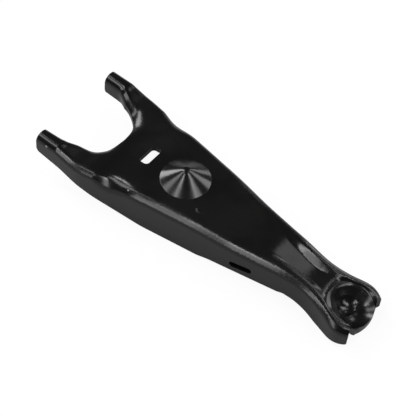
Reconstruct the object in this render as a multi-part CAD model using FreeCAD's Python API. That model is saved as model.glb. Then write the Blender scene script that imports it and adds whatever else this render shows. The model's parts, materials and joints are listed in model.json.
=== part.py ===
import FreeCAD, Part
import math
import os
from FreeCAD import Vector

# Clutch release fork: one stamping of sheet steel, in millimetres.
# +X runs from the two tine tips to the push-rod cup, +Z is up, and the part is mirror-symmetric about Y = 0.
# The origin is the centre of the pivot ball that the fork rocks on.
# The shape is drawn with the flat web's top face at z = 0 and moved to the pivot at the very end.

# Sheet
SHEET = 3.2                 # thickness

# Tines and the mouth that straddles the release bearing
TIP_X = -73.6               # plain ends of the tines
TIP_CORNER_R = 2.6          # lower corner of those ends
TINE_HALF = 31.0            # outer face of the tine flanges
TINE_WIDTH = 8.5            # width of the tines at the tips
TINE_WIDENING = 0.6         # how much wider they are where their walls turn in
TINE_WALL_R = 9.0           # round of that turn
MOUTH_X = -61.0             # centre of the flanged mouth
MOUTH_STEP = 3.5            # the mouth arc's radius below the tines' half opening there
MOUTH_LEAD = 1.5            # the tine walls turn in this far before the mouth's centre
MOUTH_LAND = 5.1            # web between the mouth and the tapered body
PUNCH_LEAD = 2.0            # the plain punched edge, measured from the mouth arc
PUNCH_OVER = 0.2
TINE_BEND_R = 4.0           # outer bend radius on the tines
PAD_RISE = 3.4              # height of the tip pads above the web
PAD_LENGTH = 13.0           # length of the tip pads
PAD_STEP = 0.9              # drop behind the pads
PAD_BLEND_R = 5.0           # blend radii of that drop
PAD_FALL = 12.1             # length of the fall from the pads to the web
TINE_FOOT_R = 30.0          # blend radius at its foot

# Body
SHOULDER_LEAD = 9.0         # the sides turn from parallel to tapered this far before the body
SHOULDER_R = 40.0
JOIN = 0.12                 # the arm's bend starts this much rounder than the tines' bend
WIDE_BEND_R = 7.5           # bend radius at the root of the tines
WIDE_BEND_END = -12.0
BODY_BEND_R = 5.0           # bend radius along the arm
CUP_BEND_R = 3.8            # bend radius round the cup
ARCH_RISE = 1.6             # web raised under the pivot dome
ARCH_LEAD = 4.5             # the rise to it starts this far behind the front of the body
ARCH_BACK_X = 44.0          # end of the fall from it
ARCH_HALF = 16.0            # half length of its level top

# Neck and cup end
NECK_X = 82.0               # narrowest place of the arm
NECK_HALF = 11.7
FLARE_X = 106.0             # centre of the round flare about the cup
FLARE_R = 16.6
END_X = 115.8               # end of the lip on the centre line
END_R = 20.0                # round of the lip in plan
END_CUT = math.radians(63.0)    # the flange ends are cut on this line from the flare's centre
SLOPE = 0.22                # fall of the cup end
SLOPE_X = 73.0              # middle of the bend into that fall
SLOPE_BLEND = 18.0          # length of that bend
TROUGH_X = 54.0             # where the trough in the neck starts
TROUGH_LENGTH = 22.0        # length over which it reaches its depth
TROUGH_DEPTH = 3.0
TROUGH_BANK = 4.2           # width of the trough's banks

# Push-rod cup, measured square to the sloping end
CUP_X = 104.2
CUP_R = 13.0                # spherical bowl
CUP_RIM_DROP = 0.9          # rim below the flange crests
CUP_RIM_R = 2.2             # round of the rim
CUP_DEPTH = 5.0             # bowl below the rim
CUP_DRAW = 0.75             # the drawn bowl's wall as a share of the sheet
CUP_RUN = 4.0               # how far the bowl runs on towards the lip
SEAT_R = 8.0                # spherical seat for the push rod's end
SEAT_DEPTH = 1.2            # seat below the bowl
GROOVE_DEPTH = 2.0          # groove between the rim and the flange crests
GROOVE_BANK = 2.6

# Pivot dome, with the ball socket under it
BALL_R = 8.5
DOME_RISE = 7.35
DOME_CROWN_R = 5.0
DOME_FLANK = math.radians(32.0)     # slope of the conical flank
DOME_FOOT_R = 1.0
DOME_SINK = 0.04            # depth to which the dome's foot is let into the web

# Slots
RETAINER_X = -23.3
RETAINER_LENGTH = 12.3
RETAINER_WIDTH = 5.8
RETAINER_CORNER_R = 1.9
FLANGE_SLOT_X = 49.0
FLANGE_SLOT_Z = -12.8
FLANGE_SLOT_LENGTH = 12.5
FLANGE_SLOT_HEIGHT = 3.8
FLANGE_SLOT_TILT = 8.0      # degrees, rising towards the cup

# Lower edges in side view: (x, z, blend radius) of each corner, from the tips to the cup end
REST_Z = -20.7
LOWER_EDGE = [
    (TIP_X, -3.0, 0.0),
    (TIP_X, -7.6, TIP_CORNER_R),
    (-58.0, -10.0, 30.0),
    (-37.0, -16.6, 40.0),
    (-8.0, REST_Z, 30.0),
    (24.5, REST_Z, 10.0),
    (31.0, -19.5, 12.0),
    (69.5, -16.9, 3.5),
    (73.0, -15.9, 3.5),
    (79.0, -16.8, 14.0),
    (94.5, REST_Z, 18.0),
    (113.4, REST_Z + 2.2, 1.6),
    (113.9, -16.0, 0.0),
]
MOUTH_EDGE = [
    (TIP_X - 6.0, -7.5, 0.0),
    (-63.0, -6.9, 3.0),
    (-59.0, -4.9, 4.0),
    (-43.0, -3.7, 0.0),
]

# Working sizes that only have to clear the part
BELOW_Z = -45.0
ABOVE_Z = 30.0
STATIONS = 20               # sections along the arm
ROUND = 0.5523              # handle length of a quarter round drawn as a cubic curve


def v(x, y, z=0.0):
    return Vector(x, y, z)


def smooth(u):
    """Ease from 0 to 1 with level ends."""
    u = min(max(u, 0.0), 1.0)
    return u * u * (3.0 - 2.0 * u)


# Plan of the tines and the mouth, from the outer faces inwards
MOUTH_TIP_HALF = TINE_HALF - TINE_WIDTH
TINE_WALL_HALF = MOUTH_TIP_HALF - TINE_WIDENING
TINE_WALL_X = MOUTH_X - MOUTH_LEAD
MOUTH_R = TINE_WALL_HALF - MOUTH_STEP
PUNCH_X = MOUTH_X + PUNCH_LEAD
PUNCH_R = MOUTH_R + PUNCH_OVER

# Front of the tapered body, and what starts beside it
BODY_X = MOUTH_X + MOUTH_R + MOUTH_LAND
SHOULDER_X = BODY_X - SHOULDER_LEAD
ARCH_FRONT_X = BODY_X + ARCH_LEAD
TINE_FOOT_X = TIP_X + PAD_LENGTH + PAD_FALL

# Plan of the arm: a straight taper, tangent to the neck arc, tangent to the round flare.
_reach = FLARE_X - NECK_X
NECK_R = (_reach ** 2 + NECK_HALF ** 2 - FLARE_R ** 2) / (2.0 * (FLARE_R - NECK_HALF))
NECK_CENTRE_Y = NECK_HALF + NECK_R
_run = NECK_X - SHOULDER_X
_climb = NECK_CENTRE_Y - TINE_HALF
TAPER = math.asin(NECK_R / math.hypot(_run, _climb)) - math.atan2(_climb, _run)
TAPER_END_X = NECK_X - NECK_R * math.sin(TAPER)
FLARE_START_X = FLARE_X - FLARE_R * _reach / (FLARE_R + NECK_R)


def half_width(x):
    if x < TAPER_END_X:
        return TINE_HALF - (x - SHOULDER_X) * math.tan(TAPER)
    if x < FLARE_START_X:
        return NECK_CENTRE_Y - math.sqrt(NECK_R ** 2 - (x - NECK_X) ** 2)
    return math.sqrt(FLARE_R ** 2 - (x - FLARE_X) ** 2)


def crest_height(x):
    """Top of the flange crests: arched over the pivot and falling away to the cup."""
    rise = smooth((x - ARCH_FRONT_X) / (-ARCH_HALF - ARCH_FRONT_X))
    fall = smooth((ARCH_BACK_X - x) / (ARCH_BACK_X - ARCH_HALF))
    run = x - SLOPE_X + SLOPE_BLEND / 2.0
    if run > SLOPE_BLEND:
        return -SLOPE * (x - SLOPE_X)
    return ARCH_RISE * rise * fall - SLOPE * max(run, 0.0) ** 2 / (2.0 * SLOPE_BLEND)


def trough_depth(x):
    """Web floor below the flange crests: a trough in the neck, then the groove round the cup."""
    rim_x = CUP_X - CUP_R
    trough = TROUGH_DEPTH * smooth((x - TROUGH_X) / TROUGH_LENGTH)
    at_rim = smooth((x - rim_x + 9.0) / 8.0)
    groove = GROOVE_DEPTH * smooth((x - rim_x) / 7.0)
    return trough + (CUP_RIM_DROP - TROUGH_DEPTH) * at_rim + groove


def bend_radius(x):
    """Outer bend radius: wide at the tines' roots, closer along the arm and close round the cup."""
    wide = smooth((x - BODY_X) / 7.0)
    narrow = smooth((x - WIDE_BEND_END + 14.0) / 14.0)
    close = smooth((x - TROUGH_X) / (CUP_X - CUP_R - TROUGH_X))
    return (TINE_BEND_R + JOIN + (WIDE_BEND_R - TINE_BEND_R) * wide
            + (BODY_BEND_R - WIDE_BEND_R) * narrow + (CUP_BEND_R - BODY_BEND_R) * close)


def rounded_path(corners):
    """Edges of a side-view path through (x, z, blend radius) corners."""
    edges = []
    last = v(corners[0][0], 0, corners[0][1])
    for before, here, after in zip(corners, corners[1:], corners[2:]):
        corner = v(here[0], 0, here[1])
        back = v(before[0], 0, before[1]).sub(corner).normalize()
        on = v(after[0], 0, after[1]).sub(corner).normalize()
        half = back.getAngle(on) / 2.0
        reach = here[2] / math.tan(half)
        start = corner + back * reach
        end = corner + on * reach
        middle = corner + (back + on).normalize() * (here[2] / math.sin(half) - here[2])
        edges.append(Part.LineSegment(last, start).toShape())
        edges.append(Part.Arc(start, middle, end).toShape())
        last = end
    edges.append(Part.LineSegment(last, v(corners[-1][0], 0, corners[-1][1])).toShape())
    return edges


def side_prism(edges, half):
    """Prism of a closed side-view outline, reaching half each way in Y."""
    face = Part.Face(Part.Wire(edges))
    face.translate(v(0, -half))
    return face.extrude(v(0, 2.0 * half))


def plan_prism(edges, low, high):
    face = Part.Face(Part.Wire(edges))
    face.translate(v(0, 0, low))
    return face.extrude(v(0, 0, high - low))


def arc_about(x, y, radius, start, end):
    """Plan arc about a centre, between two angles in degrees."""
    angles = [math.radians(a) for a in (start, (start + end) / 2.0, end)]
    points = [v(x + radius * math.cos(a), y + radius * math.sin(a)) for a in angles]
    return Part.Arc(*points).toShape()


def chain(parts):
    """Join plan arcs with straight edges, in order, into a closed outline."""
    edges = []
    for here, after in zip(parts, parts[1:] + parts[:1]):
        if isinstance(here, Part.Shape):
            edges.append(here)
        start = here.lastVertex().Point if isinstance(here, Part.Shape) else here
        end = after.firstVertex().Point if isinstance(after, Part.Shape) else after
        if start.distanceToPoint(end) > 1e-6:
            edges.append(Part.LineSegment(start, end).toShape())
    return edges


def cubic(points):
    curve = Part.BezierCurve()
    curve.setPoles(points)
    return curve.toShape()


def section(x, inset):
    """Cross-section of the arm at x, as a closed wire: flanges, bends, banks and web floor."""
    wall = half_width(x) - inset
    radius = bend_radius(x) - inset
    across = radius / math.cos(TAPER)
    crest = crest_height(x) - inset
    depth = trough_depth(x)
    floor = crest - depth
    top = wall - across
    bank = TROUGH_BANK + (GROOVE_BANK - TROUGH_BANK) * smooth((x - NECK_X) / (CUP_X - NECK_X))
    shift = inset * math.tan(math.atan2(depth, bank / 2.0) / 2.0)
    upper = max(bank * 0.25 - shift, 0.05 * bank)
    lower = max(bank * 0.75 - shift, upper + 0.05 * bank)
    low = BELOW_Z - inset
    half = [
        Part.LineSegment(v(x, wall, low), v(x, wall, crest - radius)).toShape(),
        cubic([
            v(x, wall, crest - radius),
            v(x, wall, crest - radius * (1.0 - ROUND)),
            v(x, top + across * ROUND, crest),
            v(x, top, crest),
        ]),
        cubic([
            v(x, top, crest),
            v(x, top - upper, crest),
            v(x, top - lower, floor),
            v(x, top - bank, floor),
        ]),
        Part.LineSegment(v(x, top - bank, floor), v(x, 0, floor)).toShape(),
    ]
    other_half = [edge.mirror(v(0, 0), v(0, 1)) for edge in reversed(half)]
    base = Part.LineSegment(v(x, -wall, low), v(x, wall, low)).toShape()
    return Part.Wire(Part.__sortEdges__(half + other_half + [base]))


def arm(inset):
    """Outer or inner form of the tapered arm, from the tines' roots to past the lip."""
    step = (END_X + SHEET - BODY_X) / STATIONS
    wires = [section(BODY_X + step * i, inset) for i in range(STATIONS + 1)]
    return Part.makeLoft(wires, True)


def tines(inset):
    """Outer or inner form of the two tines and the flanged mouth between them."""
    tip = TIP_X - 1.5
    outer = TINE_HALF - inset
    turn = SHOULDER_R - inset
    angle = math.degrees(TAPER)
    shoulder = SHOULDER_X - SHOULDER_R * math.tan(TAPER / 2.0)
    side = [
        v(BODY_X, half_width(BODY_X) - inset),
        arc_about(shoulder, outer - turn, turn, 90.0 - angle, 90.0),
        v(tip, outer),
    ] + mouth_wall(inset, tip)
    other = [mirrored(item) for item in reversed(side)]
    block = plan_prism(chain(side + other), BELOW_Z - inset, ABOVE_Z)
    pad_end = TIP_X + PAD_LENGTH
    top = rounded_path([
        (TIP_X - 20.0, PAD_RISE, 0.0),
        (pad_end, PAD_RISE, PAD_BLEND_R),
        (pad_end + 3.0 * PAD_STEP, PAD_RISE - PAD_STEP, PAD_BLEND_R),
        (TINE_FOOT_X, 0.0, TINE_FOOT_R),
        (BODY_X + 10.0, 0.0, 0.0),
    ])
    crown = side_prism(closed_below(top), 2.0 * TINE_HALF)
    crown.translate(v(0, 0, -inset))
    form = block.common(crown)
    along = [e for e in form.Edges
             if e.BoundBox.ZMin > -inset - 0.01 and e.BoundBox.XLength > 1e-6]
    return form.makeFillet(TINE_BEND_R - inset, along)


def mouth_wall(inset, tip):
    """One side of the mouth in plan: tine wall, turn, slanted wall and mouth arc."""
    tine = math.atan2(MOUTH_TIP_HALF - TINE_WALL_HALF, TINE_WALL_X - TIP_X)
    away = math.hypot(MOUTH_X - TINE_WALL_X, TINE_WALL_HALF)
    slant = math.atan2(TINE_WALL_HALF, MOUTH_X - TINE_WALL_X) - math.asin(MOUTH_R / away)
    reach = TINE_WALL_R * math.tan((slant - tine) / 2.0)
    start_x = TINE_WALL_X - reach * math.cos(tine)
    start_y = TINE_WALL_HALF + reach * math.sin(tine)
    centre_x = start_x - TINE_WALL_R * math.sin(tine)
    centre_y = start_y - TINE_WALL_R * math.cos(tine)
    tine_deg = math.degrees(tine)
    slant_deg = math.degrees(slant)
    tip_y = MOUTH_TIP_HALF + (TIP_X - tip) * math.tan(tine) + inset / math.cos(tine)
    return [
        v(tip, tip_y),
        arc_about(centre_x, centre_y, TINE_WALL_R + inset, 90.0 - tine_deg, 90.0 - slant_deg),
        arc_about(MOUTH_X, 0.0, MOUTH_R + inset, 90.0 - slant_deg, 0.0),
    ]


def mirrored(item):
    """The same plan point or arc on the other side of the centre line, run the other way."""
    if isinstance(item, Part.Shape):
        start, end = item.ParameterRange
        points = [item.valueAt(t) for t in (end, (start + end) / 2.0, start)]
        return Part.Arc(*[v(p.x, -p.y) for p in points]).toShape()
    return v(item.x, -item.y)


def closed_below(edges):
    """Close a side-view path with straight edges far below it."""
    first = edges[0].Vertexes[0].Point
    last = edges[-1].Vertexes[-1].Point
    corners = [last, v(last.x, 0, 2.0 * BELOW_Z), v(first.x, 0, 2.0 * BELOW_Z), first]
    return edges + [Part.LineSegment(a, b).toShape() for a, b in zip(corners, corners[1:])]


def dome(inset):
    """Outer or inner form of the pivot dome: small round crown, conical flank and foot fillet."""
    crown_z = DOME_RISE - DOME_CROWN_R
    lean = math.sin(DOME_FLANK)
    drop = math.cos(DOME_FLANK)
    foot_x = (crown_z * drop + DOME_CROWN_R + DOME_FOOT_R * (1.0 - drop)) / lean
    crown_r = DOME_CROWN_R - inset
    foot_r = DOME_FOOT_R + inset

    def crown(angle):
        return v(crown_r * math.sin(angle), 0, crown_z + crown_r * math.cos(angle))

    def foot(angle):
        return v(foot_x - foot_r * math.sin(angle), 0, DOME_FOOT_R - foot_r * math.cos(angle))

    low = -inset - SHEET
    points = [crown(0.0), crown(DOME_FLANK), foot(DOME_FLANK), foot(0.0), v(foot_x, 0, low), v(0, 0, low)]
    edges = [
        Part.Arc(points[0], crown(DOME_FLANK / 2.0), points[1]).toShape(),
        Part.LineSegment(points[1], points[2]).toShape(),
        Part.Arc(points[2], foot(DOME_FLANK / 2.0), points[3]).toShape(),
        Part.LineSegment(points[3], points[4]).toShape(),
        Part.LineSegment(points[4], points[5]).toShape(),
        Part.LineSegment(points[5], points[0]).toShape(),
    ]
    solid = Part.Face(Part.Wire(edges)).revolve(v(0, 0), v(0, 0, 1), 360.0)
    solid.translate(v(0, 0, ARCH_RISE - DOME_SINK))
    return solid


def seat_on_slope(solid):
    """Place a cup feature drawn about the Z axis square to the sloping end."""
    solid.rotate(v(0, 0), v(0, 1), math.degrees(math.atan(SLOPE)))
    solid.translate(v(CUP_X, 0, crest_height(CUP_X)))
    return solid


def cup_bowl_z():
    return CUP_R - CUP_RIM_DROP - CUP_DEPTH


def cup_rim(inset):
    """Ring that stands up round the bowl, with a rounded rim."""
    bowl_z = cup_bowl_z()
    bowl_r = CUP_R + inset * CUP_DRAW
    round_r = max(CUP_RIM_R - inset, 0.4)
    rim_z = -CUP_RIM_DROP - inset - round_r
    reach = bowl_r + round_r
    rim_x = math.sqrt(reach ** 2 - (bowl_z - rim_z) ** 2)
    lean = math.atan2(bowl_z - rim_z, rim_x)
    touch = v(bowl_r * math.cos(lean), 0, bowl_z - bowl_r * math.sin(lean))
    half_turn = (math.pi - lean) / 2.0
    crown = v(rim_x + round_r * math.cos(half_turn), 0, rim_z + round_r * math.sin(half_turn))
    low = rim_z - 2.0 * SHEET
    deep = (lean + math.pi / 2.0) / 2.0
    side = v(bowl_r * math.cos(deep), 0, bowl_z - bowl_r * math.sin(deep))
    bottom = v(0, 0, bowl_z - bowl_r)
    edges = [
        Part.Arc(bottom, side, touch).toShape(),
        Part.Arc(touch, crown, v(rim_x + round_r, 0, rim_z)).toShape(),
        Part.LineSegment(v(rim_x + round_r, 0, rim_z), v(rim_x + round_r, 0, low)).toShape(),
        Part.LineSegment(v(rim_x + round_r, 0, low), v(0, 0, min(low, bottom.z - SHEET))).toShape(),
        Part.LineSegment(v(0, 0, min(low, bottom.z - SHEET)), bottom).toShape(),
    ]
    return seat_on_slope(Part.Face(Part.Wire(edges)).revolve(v(0, 0), v(0, 0, 1), 360.0))


def cup_bowl(inset):
    """Hollow of the cup: a spherical bowl that runs on towards the lip."""
    centre_z = cup_bowl_z()
    radius = CUP_R + inset * CUP_DRAW
    bowl = Part.makeSphere(radius, v(0, 0, centre_z))
    run = Part.makeCylinder(radius, CUP_RUN, v(0, 0, centre_z), v(1, 0))
    far_end = Part.makeSphere(radius, v(CUP_RUN, 0, centre_z))
    return seat_on_slope(bowl.fuse(run).fuse(far_end))


def cup_seat(inset):
    bottom = cup_bowl_z() - CUP_R - SEAT_DEPTH
    return seat_on_slope(Part.makeSphere(SEAT_R + inset, v(0, 0, bottom + SEAT_R)))


def form(inset):
    """The fork as a solid block: its outer form at inset 0, its hollow at the sheet's thickness."""
    bowl = cup_bowl(inset)
    cup_end = arm(inset).cut(bowl).fuse(cup_rim(inset).cut(bowl)).cut(cup_seat(inset))
    return cup_end.fuse(dome(inset)).fuse(tines(inset))


def lower_trim():
    """Everything above the lower edge of the flanges, between the tips and the lip."""
    edges = rounded_path(LOWER_EDGE)
    first = edges[0].Vertexes[0].Point
    last = edges[-1].Vertexes[-1].Point
    far = END_X + 10.0
    corners = [last, v(far, 0, last.z), v(far, 0, ABOVE_Z), v(first.x, 0, ABOVE_Z), first]
    edges += [Part.LineSegment(a, b).toShape() for a, b in zip(corners, corners[1:])]
    return side_prism(edges, 2.0 * TINE_HALF)


def end_trim():
    """Everything inside the rounded lip, the cut flange ends and the plain ends of the tines."""
    back = END_X - END_R
    offset = FLARE_X - back
    reach = math.sqrt(END_R ** 2 - (offset * math.sin(END_CUT)) ** 2) - offset * math.cos(END_CUT)
    swing = math.degrees(math.asin(reach * math.sin(END_CUT) / END_R))
    wide = 2.0 * TINE_HALF
    cut_x = FLARE_X + wide / math.tan(END_CUT)
    plan = chain([
        arc_about(back, 0.0, END_R, -swing, swing),
        v(cut_x, wide),
        v(TIP_X, wide),
        v(TIP_X, -wide),
        v(cut_x, -wide),
    ])
    return plan_prism(plan, BELOW_Z, ABOVE_Z)


def mouth_punch():
    """Plain punched edge at the bottom of the mouth."""
    plan = chain([
        arc_about(PUNCH_X, 0.0, PUNCH_R, -90.0, 90.0),
        v(TIP_X, PUNCH_R),
        v(TIP_X, -PUNCH_R),
    ])
    return plan_prism(plan, BELOW_Z, ABOVE_Z)


def mouth_trim():
    """Everything below the lower edge of the mouth flange, clear of the outer flanges."""
    return side_prism(closed_below(rounded_path(MOUTH_EDGE)), TINE_HALF - SHEET - 1.2)


def retainer_slot():
    """Slot for the spring clip that holds the fork on its pivot."""
    slot = Part.makeBox(RETAINER_WIDTH, RETAINER_LENGTH, 4.0 * SHEET,
                        v(RETAINER_X - RETAINER_WIDTH / 2.0, -RETAINER_LENGTH / 2.0, -2.0 * SHEET))
    uprights = [e for e in slot.Edges if e.BoundBox.ZLength > SHEET]
    return slot.makeFillet(RETAINER_CORNER_R, uprights)


def flange_slots():
    """Round-ended slot low in both flanges."""
    radius = FLANGE_SLOT_HEIGHT / 2.0
    reach = (FLANGE_SLOT_LENGTH - FLANGE_SLOT_HEIGHT) / 2.0
    plan = chain([
        arc_about(reach, 0.0, radius, -90.0, 90.0),
        arc_about(-reach, 0.0, radius, 90.0, 270.0),
    ])
    slot = plan_prism(plan, -2.0 * TINE_HALF, 2.0 * TINE_HALF)
    slot.rotate(v(0, 0), v(1, 0), 90.0)
    slot.rotate(v(0, 0), v(0, 1), -FLANGE_SLOT_TILT)
    slot.translate(v(FLANGE_SLOT_X, 0, FLANGE_SLOT_Z))
    return slot


def pivot_height():
    """Height of the ball's centre when the ball touches the inside of the conical dome."""
    above = (BALL_R + SHEET - DOME_CROWN_R) / math.cos(DOME_FLANK)
    return ARCH_RISE - DOME_SINK + DOME_RISE - DOME_CROWN_R - above


def fork():
    sheet = form(0.0).cut(form(SHEET))
    sheet = sheet.common(lower_trim()).common(end_trim())
    for tool in (mouth_punch(), mouth_trim(), retainer_slot(), flange_slots()):
        sheet = sheet.cut(tool)
    sheet.translate(v(0, 0, -pivot_height()))
    return sheet


os.makedirs("parts", exist_ok=True)
shape = fork()
shape.exportStep("parts/fork_stamping.step")
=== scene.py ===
"""Studio scene of a pressed steel clutch fork, painted gloss black, on a white table."""

import json
import logging
import math
from dataclasses import dataclass, field
from enum import Enum

import bmesh
import bpy
from mathutils import Matrix, Vector

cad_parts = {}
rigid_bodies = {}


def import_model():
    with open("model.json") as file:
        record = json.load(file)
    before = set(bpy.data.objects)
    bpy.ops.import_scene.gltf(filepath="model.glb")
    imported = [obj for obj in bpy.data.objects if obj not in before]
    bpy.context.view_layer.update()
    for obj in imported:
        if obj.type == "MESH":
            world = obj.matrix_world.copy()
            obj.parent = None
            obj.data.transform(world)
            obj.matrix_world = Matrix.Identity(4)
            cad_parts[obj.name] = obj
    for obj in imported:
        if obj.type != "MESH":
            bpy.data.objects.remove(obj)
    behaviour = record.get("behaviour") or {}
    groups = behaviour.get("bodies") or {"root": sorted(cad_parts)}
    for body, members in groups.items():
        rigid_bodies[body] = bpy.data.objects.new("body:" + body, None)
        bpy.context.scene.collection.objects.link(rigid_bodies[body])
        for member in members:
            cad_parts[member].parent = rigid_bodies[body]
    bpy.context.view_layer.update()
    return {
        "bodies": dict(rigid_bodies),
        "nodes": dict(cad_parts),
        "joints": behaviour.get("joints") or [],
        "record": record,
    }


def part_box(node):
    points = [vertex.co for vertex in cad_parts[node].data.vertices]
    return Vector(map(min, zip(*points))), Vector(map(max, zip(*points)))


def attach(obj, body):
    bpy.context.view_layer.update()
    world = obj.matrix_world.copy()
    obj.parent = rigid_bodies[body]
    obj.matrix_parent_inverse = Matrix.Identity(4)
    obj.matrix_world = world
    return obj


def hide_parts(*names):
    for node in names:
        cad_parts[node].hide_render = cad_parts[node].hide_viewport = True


MM = 0.001
LOG = logging.getLogger("clutch_fork")

Value = float | tuple[float, ...] | bpy.types.NodeSocket

WELD = 0.002 * MM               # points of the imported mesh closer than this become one
CUT_SNAP = 0.001 * MM           # a cut this close to a point goes through it

PATCH_DETAIL = 3.0
PATCH_ROUGHNESS = 0.55
PATCH_EDGES = (0.32, 0.68)      # noise values between which one patch goes over into the next
GRAIN_DETAIL = 1.0
GRAIN_ROUGHNESS = 0.4
CHIP_DETAIL = 1.0
CHIP_BUMPS = 1.5                # bumps of a chip's outline in one radius
CHIP_LEVEL = 0.5                # noise is half on average, and this brings it to one
CHIP_EDGES = (0.8, 1.1)         # shares of the outline between which a chip fades out
CRESCENT_EDGES = (0.2, 0.8)     # shares of the width between which the mark fades out
CRESCENT_ENDS = (-0.6, -0.3)    # shares of the radius between which the arc ends


class Slot(Enum):
    """Material slots named in the part's record."""

    BLACK_PAINT = "black_paint"


@dataclass(frozen=True)
class PaintFinish:
    """Gloss paint over pressed steel.

    The paint changes between two colours and two roughnesses in slow patches. Peel is the fine
    texture of sprayed paint and wave the unevenness of the sheet. Sizes and depths are in metres.
    """

    name: str
    colour: tuple[float, float, float]
    warm_colour: tuple[float, float, float]
    patch_size: float
    roughness: tuple[float, float]
    peel_size: float
    peel_depth: float
    wave_size: float
    wave_depth: float
    bare_colour: tuple[float, float, float]


@dataclass(frozen=True)
class Chip:
    """A small bare spot in the paint. Lengths are in metres."""

    place: tuple[float, float, float]
    radius: float


@dataclass(frozen=True)
class Crescent:
    """A small curved tool mark pressed into the web. Lengths are in metres."""

    centre: tuple[float, float]
    radius: float
    width: float
    depth: float


BLACK_GLOSS = PaintFinish(
    name="black_gloss",
    colour=(0.0036, 0.0037, 0.0038),
    warm_colour=(0.0052, 0.0049, 0.0045),
    patch_size=24.0 * MM,
    roughness=(0.17, 0.24),
    peel_size=1.3 * MM,
    peel_depth=0.0015 * MM,
    wave_size=9.0 * MM,
    wave_depth=0.03 * MM,
    bare_colour=(0.30, 0.29, 0.28),
)
CHIPS = (
    Chip((-17.5 * MM, -24.2 * MM, 4.3 * MM), 0.50 * MM),
    Chip((-66.7 * MM, -30.8 * MM, 4.6 * MM), 0.65 * MM),
)
TOOL_MARK = Crescent((18.2 * MM, -9.8 * MM), 2.7 * MM, 0.5 * MM, 0.12 * MM)


class Graph:
    """Adds and joins the nodes of one node tree."""

    def __init__(self, tree: bpy.types.NodeTree) -> None:
        """Keep the node tree to add to."""
        self.tree = tree

    def add(self, kind: str, settings: dict | None = None, **inputs: Value) -> bpy.types.Node:
        """Add a node.

        Args:
            kind: Node type.
            settings: The node's own properties.
            **inputs: Sockets by name, or as in_0, in_1 and so on, each with a value or a
                socket to join.

        Returns:
            The new node.
        """
        node = self.tree.nodes.new(kind)
        for name, value in (settings or {}).items():
            setattr(node, name, value)
        for name, value in inputs.items():
            key = int(name[3:]) if name.startswith("in_") else name.replace("_", " ")
            if isinstance(value, bpy.types.NodeSocket):
                self.tree.links.new(value, node.inputs[key])
            else:
                node.inputs[key].default_value = value
        return node

    def math(self, operation: str, *values: Value) -> bpy.types.NodeSocket:
        """Add a Math node of some operation on numbers or sockets, and return its result."""
        named = {f"in_{i}": value for i, value in enumerate(values)}
        return self.add("ShaderNodeMath", {"operation": operation}, **named).outputs[0]

    def ramp(self, value: bpy.types.NodeSocket, low: float, high: float,
             first: float, last: float) -> bpy.types.NodeSocket:
        """Map a value smoothly so that low gives first and high gives last."""
        return self.add("ShaderNodeMapRange", {"interpolation_type": "SMOOTHSTEP"},
                        in_0=value, in_1=low, in_2=high, in_3=first, in_4=last).outputs[0]

    def mix(self, share: Value, first: Value, second: Value) -> bpy.types.NodeSocket:
        """Mix two colours, by the share of the second."""
        return self.add("ShaderNodeMix", {"data_type": "RGBA"},
                        in_0=share, in_6=first, in_7=second).outputs[2]

    def use(self, group: bpy.types.NodeTree, **inputs: Value) -> bpy.types.NodeSocket:
        """Add a node group, given its inputs, and return its only output."""
        return self.add("ShaderNodeGroup", {"node_tree": group}, **inputs).outputs[0]


def new_group(
    name: str, takes: tuple[tuple[str, str], ...], gives: tuple[tuple[str, str], ...],
) -> tuple[bpy.types.NodeTree, Graph, bpy.types.Node]:
    """Start a shader node group with named sockets.

    Args:
        name: Group's name.
        takes: Names and kinds of its inputs.
        gives: Names and kinds of its outputs.

    Returns:
        The group, its graph and its input node.
    """
    tree = bpy.data.node_groups.new(name, "ShaderNodeTree")
    for label, kind in takes:
        tree.interface.new_socket(label, in_out="INPUT", socket_type=f"NodeSocket{kind}")
    for label, kind in gives:
        tree.interface.new_socket(label, in_out="OUTPUT", socket_type=f"NodeSocket{kind}")
    graph = Graph(tree)
    return tree, graph, graph.add("NodeGroupInput")


def patch_group() -> bpy.types.NodeTree:
    """Uneven paint: slow change between two values of one mask.

    Returns:
        The node group.
    """
    takes = (("Place", "Vector"), ("Size", "Float"))
    tree, graph, given = new_group("uneven_patches", takes, (("Mask", "Float"),))
    scale = graph.math("DIVIDE", 1.0, given.outputs["Size"])
    noise = graph.add("ShaderNodeTexNoise", Vector=given.outputs["Place"], Scale=scale,
                      Detail=PATCH_DETAIL, Roughness=PATCH_ROUGHNESS)
    mask = graph.ramp(noise.outputs[0], *PATCH_EDGES, 0.0, 1.0)
    graph.add("NodeGroupOutput", Mask=mask)
    return tree


def grain_group() -> bpy.types.NodeTree:
    """Height of a random grain of given size and depth.

    Returns:
        The node group.
    """
    takes = (("Place", "Vector"), ("Size", "Float"), ("Depth", "Float"))
    tree, graph, given = new_group("surface_grain", takes, (("Height", "Float"),))
    scale = graph.math("DIVIDE", 1.0, given.outputs["Size"])
    noise = graph.add("ShaderNodeTexNoise", Vector=given.outputs["Place"], Scale=scale,
                      Detail=GRAIN_DETAIL, Roughness=GRAIN_ROUGHNESS)
    height = graph.math("MULTIPLY", noise.outputs[0], given.outputs["Depth"])
    graph.add("NodeGroupOutput", Height=height)
    return tree


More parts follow.
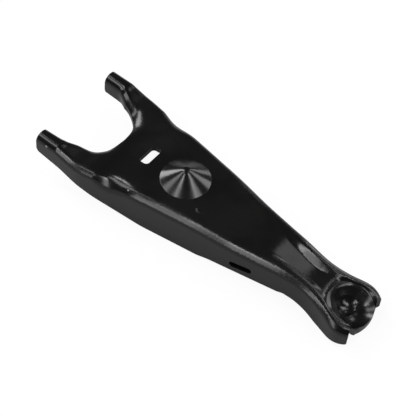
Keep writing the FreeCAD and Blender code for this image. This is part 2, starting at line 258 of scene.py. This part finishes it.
def chip_group() -> bpy.types.NodeTree:
    """Mask of one small ragged bare spot.

    Returns:
        The node group.
    """
    takes = (("Place", "Vector"), ("Centre", "Vector"), ("Radius", "Float"))
    tree, graph, given = new_group("bare_spot", takes, (("Mask", "Float"),))
    away = graph.add("ShaderNodeVectorMath", {"operation": "DISTANCE"},
                     in_0=given.outputs["Place"], in_1=given.outputs["Centre"]).outputs["Value"]
    scale = graph.math("DIVIDE", CHIP_BUMPS, given.outputs["Radius"])
    noise = graph.add("ShaderNodeTexNoise", Vector=given.outputs["Place"], Scale=scale,
                      Detail=CHIP_DETAIL)
    level = graph.math("ADD", noise.outputs[0], CHIP_LEVEL)
    outline = graph.math("MULTIPLY", level, given.outputs["Radius"])
    share = graph.math("DIVIDE", away, outline)
    graph.add("NodeGroupOutput", Mask=graph.ramp(share, *CHIP_EDGES, 1.0, 0.0))
    return tree


def crescent_group() -> bpy.types.NodeTree:
    """Height of a small curved mark pressed into a level face.

    Returns:
        The node group.
    """
    takes = (
        ("Place", "Vector"), ("Centre", "Vector"),
        ("Radius", "Float"), ("Width", "Float"), ("Depth", "Float"),
    )
    tree, graph, given = new_group("pressed_crescent", takes, (("Height", "Float"),))
    offset = graph.add("ShaderNodeVectorMath", {"operation": "SUBTRACT"},
                       in_0=given.outputs["Place"], in_1=given.outputs["Centre"]).outputs[0]
    along, across, height = graph.add("ShaderNodeSeparateXYZ", Vector=offset).outputs
    squares = [graph.math("POWER", side, 2.0) for side in (along, across)]
    away = graph.math("SQRT", graph.math("ADD", *squares))
    off_line = graph.math("ABSOLUTE", graph.math("SUBTRACT", away, given.outputs["Radius"]))
    width_share = graph.math("DIVIDE", off_line, given.outputs["Width"])
    line = graph.ramp(width_share, *CRESCENT_EDGES, 1.0, 0.0)
    radius_share = graph.math("DIVIDE", across, given.outputs["Radius"])
    arc = graph.ramp(radius_share, *CRESCENT_ENDS, 1.0, 0.0)
    upper_face = graph.math("GREATER_THAN", height, 0.0)
    mark = graph.math("MULTIPLY", line, arc)
    pressed = graph.math("MULTIPLY", mark, graph.math("MULTIPLY", upper_face, -1.0))
    depth = graph.math("MULTIPLY", pressed, given.outputs["Depth"])
    graph.add("NodeGroupOutput", Height=depth)
    return tree


@dataclass(frozen=True)
class MouthBend:
    """Wider drawn bend along both sides of the mouth, for the copied mesh.

    The solid's bend is tight all round. This one is wide at the sides, and fades to the tight one
    at the mouth's bottom (by angle) and before the tip pads (by x). It also fades out with depth
    below the web. The mouth is an arc about a point on the centre line, and a slanted straight
    wall leaves the arc at wall_angle on each side. Lengths are in metres and angles in radians.
    """

    centre_x: float = -61.0 * MM
    arc_radius: float = 18.4 * MM
    wall_angle: float = math.radians(60.9)
    tight: float = 4.0 * MM
    wide: float = 8.0 * MM
    bottom_fade: tuple[float, float] = (math.radians(4.0), math.radians(32.0))
    pad_fade: tuple[float, float] = (-57.0 * MM, -46.0 * MM)
    wall_depth: tuple[float, float] = (3.5 * MM, 7.0 * MM)
    side_margin: float = 1.02
    grid: float = 0.8 * MM

    def reach(self, place: Vector) -> tuple[float, float]:
        """Measure how far a point is from the mouth's wall, and the bend radius there.

        Args:
            place: Point on the fork.

        Returns:
            Distance and bend radius.
        """
        along = place.x - self.centre_x
        across = abs(place.y)
        angle = math.atan2(across, along)
        if angle < self.wall_angle:
            from_centre = math.hypot(along, across)
        else:
            from_centre = along * math.cos(self.wall_angle) + across * math.sin(self.wall_angle)
        share = ease(angle, *self.bottom_fade) * ease(place.x, *self.pad_fade)
        return from_centre - self.arc_radius, self.tight + (self.wide - self.tight) * share

    def drop(self, place: Vector, web: float) -> float:
        """How far a point sinks.

        Args:
            place: Point on the fork.
            web: Height of the web's top face.

        Returns:
            Drop in metres.
        """
        away, radius = self.reach(place)
        if radius <= self.tight or not 0.0 <= away < radius:
            return 0.0
        depth = bend_depth(away, radius) - bend_depth(away, self.tight)
        return depth * (1.0 - ease(web - place.z, *self.wall_depth))

    def apply(self, shell: bmesh.types.BMesh, web: float) -> None:
        """Refine the mesh about the mouth and sink it to the wider bend.

        Args:
            shell: The fork's mesh.
            web: Height of the web's top face.
        """
        front = self.pad_fade[0]
        back = self.centre_x + self.arc_radius + self.wide
        half = (self.arc_radius + self.wide) * self.side_margin
        low = Vector((front, -half, web - 2.0 * self.wide))
        high = Vector((back, half, web + self.wide))
        cut_grid(shell, low, high, self.grid)
        for vert in shell.verts:
            vert.co.z -= self.drop(vert.co, web)


@dataclass(frozen=True)
class CupLip:
    """Wider round where the neck's floor runs over into the cup, for the copied mesh.

    It fades out by angle towards the cup's sides. Lengths are in metres and angles in radians.
    """

    centre_x: float = 104.2 * MM
    radius: float = 10.8 * MM
    wall_slope: float = 1.2
    tight: float = 1.0 * MM
    wide: float = 3.4 * MM
    side_fade: tuple[float, float] = (math.radians(50.0), math.radians(88.0))
    grid: float = 0.7 * MM

    def corner(self, inward: float, half: float) -> float:
        """Depth of a rounded corner between the level floor and the sloping wall.

        The round is a parabola that touches both.

        Args:
            inward: Distance inside the corner.
            half: Half the round's length in plan.

        Returns:
            The depth.
        """
        if inward <= -half:
            return 0.0
        if inward >= half:
            return self.wall_slope * inward
        return self.wall_slope * (inward + half) ** 2 / (4.0 * half)

    def drop(self, place: Vector) -> float:
        """How far a point sinks.

        Args:
            place: Point on the fork.

        Returns:
            Drop in metres.
        """
        along = self.centre_x - place.x
        inward = self.radius - math.hypot(along, place.y)
        if abs(inward) > self.wide or along <= 0.0:
            return 0.0
        share = 1.0 - ease(math.atan2(abs(place.y), along), *self.side_fade)
        return share * (self.corner(inward, self.wide) - self.corner(inward, self.tight))

    def apply(self, shell: bmesh.types.BMesh, web: float) -> None:
        """Refine the mesh about the cup's near edge and sink it to the wider round.

        Args:
            shell: The fork's mesh.
            web: Height of the web's top face.
        """
        reach = self.radius + self.wide
        low = Vector((self.centre_x - reach, -reach, web - 2.0 * self.radius))
        high = Vector((self.centre_x, reach, web))
        cut_grid(shell, low, high, self.grid)
        for vert in shell.verts:
            vert.co.z -= self.drop(vert.co)


def ease(value: float, low: float, high: float) -> float:
    """Ease from 0 at low to 1 at high."""
    share = min(max((value - low) / (high - low), 0.0), 1.0)
    return share * share * (3.0 - 2.0 * share)


def bend_depth(away: float, radius: float) -> float:
    """Depth of a quarter-round bend below the face it leaves, away from the wall."""
    rest = max(radius - away, 0.0)
    return radius - math.sqrt(radius * radius - rest * rest)


def crosses(face: bmesh.types.BMFace, axis: int, low: float, high: float) -> bool:
    """Whether a face reaches into the layer from low to high along axis 0, 1 or 2."""
    places = [vert.co[axis] for vert in face.verts]
    return min(places) < high and max(places) > low


def cut_grid(shell: bmesh.types.BMesh, low: Vector, high: Vector, step: float) -> None:
    """Cut the faces in a box along even lines, so that they can be shaped.

    Args:
        shell: Mesh to cut.
        low: Lowest corner of the box.
        high: Highest corner of the box.
        step: Distance between the lines.
    """
    for axis in (0, 1):
        normal = Vector((axis == 0, axis == 1, 0.0))
        count = int((high[axis] - low[axis]) / step)
        for index in range(count + 1):
            at = low[axis] + index * step
            faces = [
                face for face in shell.faces
                if crosses(face, axis, at, at)
                and all(crosses(face, side, low[side], high[side]) for side in range(3))
            ]
            edges = {edge for face in faces for edge in face.edges}
            bmesh.ops.bisect_plane(shell, geom=[*faces, *edges], dist=CUT_SNAP,
                                   plane_co=normal * at, plane_no=normal)
    bmesh.ops.triangulate(shell, faces=[face for face in shell.faces if len(face.verts) > 4])


@dataclass
class PressedFork:
    """The fork itself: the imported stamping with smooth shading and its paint."""

    node: str = "fork_stamping"
    crease: float = math.radians(38.0)      # sharper edges than this stay crisp
    web_top: float = 3.99 * MM              # top face of the level web
    mouth_bend: MouthBend = field(default_factory=MouthBend)
    cup_lip: CupLip = field(default_factory=CupLip)

    def build(self, frame: dict) -> bpy.types.Object:
        """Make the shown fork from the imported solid.


        Returns:
            The fork's object.
        """
        mesh = frame["nodes"][self.node].data.copy()
        mesh.name = "painted_fork"
        shell = bmesh.new()
        shell.from_mesh(mesh)
        bmesh.ops.remove_doubles(shell, verts=shell.verts, dist=WELD)
        self.mouth_bend.apply(shell, self.web_top)
        self.cup_lip.apply(shell, self.web_top)
        for face in shell.faces:
            face.smooth = True
        for edge in shell.edges:
            edge.smooth = len(edge.link_faces) == 2 and edge.calc_face_angle(0.0) < self.crease
        shell.to_mesh(mesh)
        shell.free()
        fork = bpy.data.objects.new("painted_fork", mesh)
        bpy.context.scene.collection.objects.link(fork)
        weighted = fork.modifiers.new("even_shading", "WEIGHTED_NORMAL")
        weighted.keep_sharp = True
        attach(fork, "root")
        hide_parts(self.node)
        return fork

    def dress(self, fork: bpy.types.Object, finish: PaintFinish) -> None:
        """Paint the fork.

        Args:
            fork: The fork's object.
            finish: Paint to use.
        """
        material = bpy.data.materials.new(finish.name)
        material.use_nodes = True
        graph = Graph(material.node_tree)
        shader = material.node_tree.nodes["Principled BSDF"]
        place = graph.add("ShaderNodeTexCoord").outputs["Object"]
        patches = graph.use(patch_group(), Place=place, Size=finish.patch_size)
        paint = graph.mix(patches, (*finish.colour, 1.0), (*finish.warm_colour, 1.0))
        spot = chip_group()
        spots = [graph.use(spot, Place=place, Centre=chip.place, Radius=chip.radius)
                 for chip in CHIPS]
        bare = spots[0]
        for other in spots[1:]:
            bare = graph.math("MAXIMUM", bare, other)
        colour = graph.mix(bare, paint, (*finish.bare_colour, 1.0))
        graph.tree.links.new(colour, shader.inputs["Base Color"])
        dullness = graph.ramp(patches, 0.0, 1.0, *finish.roughness)
        graph.tree.links.new(dullness, shader.inputs["Roughness"])
        grain = grain_group()
        peel = graph.use(grain, Place=place, Size=finish.peel_size, Depth=finish.peel_depth)
        wave = graph.use(grain, Place=place, Size=finish.wave_size, Depth=finish.wave_depth)
        mark = graph.use(crescent_group(), Place=place, Centre=(*TOOL_MARK.centre, 0.0),
                         Radius=TOOL_MARK.radius, Width=TOOL_MARK.width, Depth=TOOL_MARK.depth)
        height = graph.math("ADD", graph.math("ADD", peel, wave), mark)
        bump = graph.add("ShaderNodeBump", Height=height, Distance=1.0)
        graph.tree.links.new(bump.outputs[0], shader.inputs["Normal"])
        fork.data.materials.clear()
        fork.data.materials.append(material)


@dataclass(frozen=True)
class Softbox:
    """One studio light, aimed at the fork.

    Azimuth and elevation are in degrees, as seen from the fork, width and height in metres.
    Brightness is that of the lit face, where 1 is white.
    """

    name: str
    azimuth: float
    elevation: float
    width: float
    height: float
    brightness: float


@dataclass
class Studio:
    """White table, soft lights and the camera.

    The room is white to the camera and dark to everything else, and the table glows less for
    mirrored rays, since black paint turns grey under a room that is white all round.
    """

    target: Vector = field(default_factory=lambda: Vector((19.3, -6.0, 3.99)) * MM)
    heading: float = math.radians(122.77)
    tilt: float = math.radians(53.46)
    roll: float = math.radians(7.05)
    distance: float = 0.6879
    lens: float = 119.2                 # in millimetres, as the sensor
    sensor: float = 36.0
    clip_start: float = 0.01
    table_drop: float = 0.4 * MM        # the table lies this far below the fork
    boxes: tuple[Softbox, ...] = (
        Softbox("left_far", -149.0, 43.0, 0.31, 1.12, 3.8),
        Softbox("left_near", -97.0, 34.0, 0.30, 1.45, 3.8),
        Softbox("left_core", -101.0, 56.0, 0.14, 0.30, 6.0),
        Softbox("right_near", 14.0, 50.0, 0.34, 0.92, 3.8),
        Softbox("right_core", 8.0, 58.0, 0.12, 0.24, 6.0),
        Softbox("right_far", 64.0, 30.0, 0.33, 0.96, 3.7),
        Softbox("right_high", 76.0, 58.0, 0.24, 0.26, 1.6),
        Softbox("right_back", 91.0, 18.0, 0.19, 0.84, 2.4),
        Softbox("left_back", 171.0, 34.0, 0.30, 1.07, 7.2),
    )
    box_distance: float = 1.2
    room_light: float = 0.07            # strength of the room for all but the camera
    table_glow: float = 0.8             # share of glow in what the camera sees of the table
    table_mirror: float = 0.15          # share of that glow in mirrored and refracted rays
    table_brightness: float = 1.15      # strength of the glow
    table_colour: tuple[float, float, float] = (0.42, 0.42, 0.42)
    table_roughness: float = 0.9
    table_half: float = 3.0

    def place_camera(self) -> None:
        """Add the camera and make it the scene's camera.

        It looks along heading, tilted down, with its picture rolled about that line.
        """
        ahead = Vector((math.cos(self.heading), math.sin(self.heading), 0.0))
        view = ahead * math.cos(self.tilt) - Vector((0.0, 0.0, math.sin(self.tilt)))
        right = view.cross(Vector((0.0, 0.0, 1.0))).normalized()
        up = right.cross(view)
        right_rolled = right * math.cos(self.roll) + up * math.sin(self.roll)
        up_rolled = up * math.cos(self.roll) - right * math.sin(self.roll)
        data = bpy.data.cameras.new("camera")
        data.lens = self.lens
        data.sensor_width = self.sensor
        data.clip_start = self.clip_start
        camera = bpy.data.objects.new("camera", data)
        turn = Matrix((right_rolled, up_rolled, -view)).transposed()
        camera.matrix_world = Matrix.Translation(self.target - view * self.distance) @ turn.to_4x4()
        bpy.context.scene.collection.objects.link(camera)
        bpy.context.scene.camera = camera

    def place_lights(self) -> None:
        """Add the soft boxes."""
        for box in self.boxes:
            data = bpy.data.lights.new(box.name, "AREA")
            data.shape = "RECTANGLE"
            data.size = box.width
            data.size_y = box.height
            data.energy = box.brightness * box.width * box.height * math.pi
            azimuth = math.radians(box.azimuth)
            elevation = math.radians(box.elevation)
            toward = Vector((
                math.cos(elevation) * math.cos(azimuth),
                math.cos(elevation) * math.sin(azimuth),
                math.sin(elevation),
            ))
            light = bpy.data.objects.new(box.name, data)
            light.location = self.target + toward * self.box_distance
            light.rotation_euler = toward.to_track_quat("Z", "Y").to_euler()
            bpy.context.scene.collection.objects.link(light)

    def place_table(self, lowest: float) -> None:
        """Add the white table, which is clear from below.

        Args:
            lowest: Height of the fork's lowest point.
        """
        mesh = bpy.data.meshes.new("table")
        sheet = bmesh.new()
        bmesh.ops.create_grid(sheet, x_segments=1, y_segments=1, size=self.table_half)
        bmesh.ops.translate(sheet, verts=sheet.verts, vec=(0.0, 0.0, lowest - self.table_drop))
        sheet.to_mesh(mesh)
        sheet.free()
        table = bpy.data.objects.new("table", mesh)
        bpy.context.scene.collection.objects.link(table)
        table.data.materials.append(self.table_material())

    def table_material(self) -> bpy.types.Material:
        """Make the table's white, which glows for the camera and keeps the fork's shadow.

        Returns:
            The material.
        """
        material = bpy.data.materials.new("white_table")
        material.use_nodes = True
        nodes = material.node_tree.nodes
        shader = nodes["Principled BSDF"]
        shader.inputs["Base Color"].default_value = (*self.table_colour, 1.0)
        shader.inputs["Roughness"].default_value = self.table_roughness
        shader.inputs["Specular IOR Level"].default_value = 0.0
        graph = Graph(material.node_tree)
        glow = graph.add("ShaderNodeEmission", Strength=self.table_brightness)
        path = graph.add("ShaderNodeLightPath").outputs
        bounced = graph.math("MAXIMUM", path["Is Glossy Ray"], path["Is Transmission Ray"])
        bounced = graph.math("MULTIPLY", bounced, self.table_mirror)
        seen = graph.math("MAXIMUM", path["Is Camera Ray"], bounced)
        share = graph.math("MULTIPLY", seen, self.table_glow)
        white = graph.add("ShaderNodeMixShader",
                          in_0=share, in_1=shader.outputs[0], in_2=glow.outputs[0])
        below = graph.add("ShaderNodeNewGeometry").outputs["Backfacing"]
        clear = graph.add("ShaderNodeBsdfTransparent")
        one_sided = graph.add("ShaderNodeMixShader",
                              in_0=below, in_1=white.outputs[0], in_2=clear.outputs[0])
        surface = nodes["Material Output"].inputs["Surface"]
        graph.tree.links.new(one_sided.outputs[0], surface)
        return material

    def light_room(self) -> None:
        """Set the room: white behind the fork, and a low even light on it."""
        world = bpy.data.worlds.new("room")
        bpy.context.scene.world = world
        world.use_nodes = True
        background = world.node_tree.nodes["Background"]
        background.inputs["Color"].default_value = (1.0, 1.0, 1.0, 1.0)
        graph = Graph(world.node_tree)
        path = graph.add("ShaderNodeLightPath").outputs
        strength = graph.math("MAXIMUM", path["Is Camera Ray"], self.room_light)
        world.node_tree.links.new(strength, background.inputs["Strength"])


def main() -> None:
    """Build the fork and its studio."""
    logging.basicConfig(level=logging.INFO)
    bpy.context.scene.view_settings.view_transform = "Standard"
    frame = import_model()
    fork_maker = PressedFork()
    fork = fork_maker.build(frame)
    fork_maker.dress(fork, BLACK_GLOSS)
    studio = Studio()
    studio.place_camera()
    studio.place_lights()
    studio.place_table(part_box(fork_maker.node)[0].z)
    studio.light_room()
    LOG.info("fork of %d faces placed", len(fork.data.polygons))


if __name__ == "__main__":
    main()
